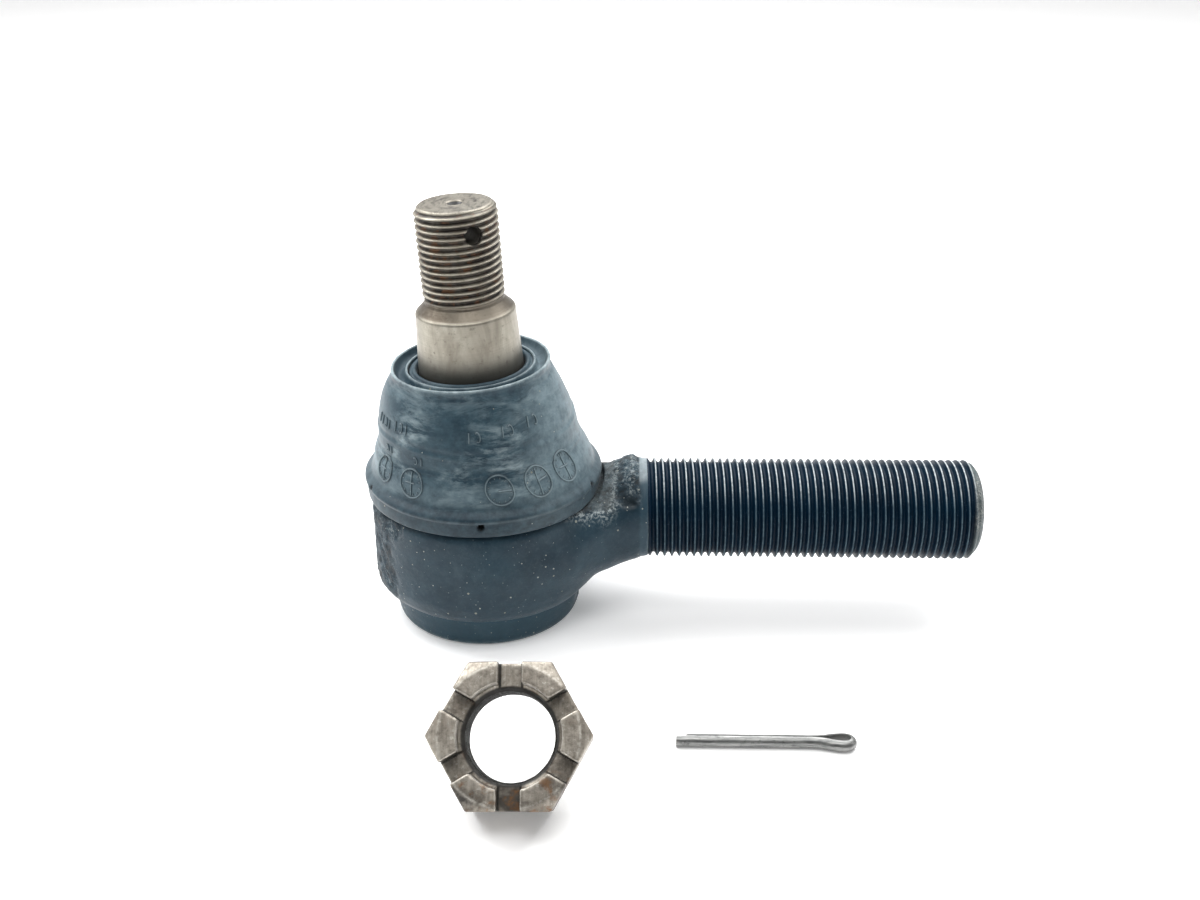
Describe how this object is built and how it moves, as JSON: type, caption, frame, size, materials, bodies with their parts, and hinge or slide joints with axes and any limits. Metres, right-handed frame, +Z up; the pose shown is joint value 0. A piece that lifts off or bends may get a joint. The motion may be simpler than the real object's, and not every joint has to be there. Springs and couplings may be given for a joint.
{
  "type": "tie rod end",
  "caption": "Heavy tie rod end: forged socket on a threaded shank, tapered ball stud that tilts and spins under a rubber boot, with loose slotted nut and cotter pin.",
  "frame": {"origin": "centre of the housing's bottom face, on the bore axis and on the plane the part rests on", "axes": "+X out along the threaded shank, +Z up along the housing bore towards the stud, +Y by the right-hand rule"},
  "size_m": [0.1746, 0.1413, 0.1209],
  "materials": {
    "housing_paint": "satin paint over rough forging",
    "stud_steel": "turned steel with light brown staining",
    "bearing_polymer": "acetal",
    "spring_steel": "dark spring steel",
    "plate_steel": "painted with the housing",
    "seal_rubber": "smooth",
    "boot_rubber": "matte with pale bloom",
    "wiper_rubber": "matte",
    "nut_steel": "bare, oily and slightly rusted",
    "pin_zinc": "zinc plated"
  },
  "bodies": {
    "socket": {"socket_housing": "housing_paint", "closure_plate": "plate_steel", "closure_seal": "seal_rubber", "preload_spring": "spring_steel"},
    "cups": {"upper_bearing": "bearing_polymer", "lower_bearing": "bearing_polymer", "dust_boot": "boot_rubber", "boot_base_ring": "spring_steel"},
    "boot_head": {"boot_wiper": "wiper_rubber"},
    "stud": {"ball_stud": "stud_steel"},
    "nut": {"castle_nut": "nut_steel"},
    "pin": {"cotter_pin": "pin_zinc"}
  },
  "joints": [
    {"name": "lean_direction", "type": "hinge", "parent": "socket", "child": "cups", "pos_m": [0, 0, 0.0308], "axis": [0, 0, 1], "continuous": true},
    {"name": "lean_angle", "type": "hinge", "parent": "cups", "child": "boot_head", "pos_m": [0, 0, 0.0308], "axis": [0, 1, 0], "range_deg": [-19, 25], "deforming": ["dust_boot"]},
    {"name": "stud_spin", "type": "hinge", "parent": "boot_head", "child": "stud", "pos_m": [0, 0, 0.0308], "axis": [-0.0523, 0, 0.9986], "continuous": true},
    {"name": "nut_lift", "type": "slide", "parent": "socket", "child": "nut", "axis": [0, 0, 1], "range_m": [0, 0.15]},
    {"name": "pin_lift", "type": "slide", "parent": "socket", "child": "pin", "axis": [0, 0, 1], "range_m": [0, 0.15]}
  ]
}
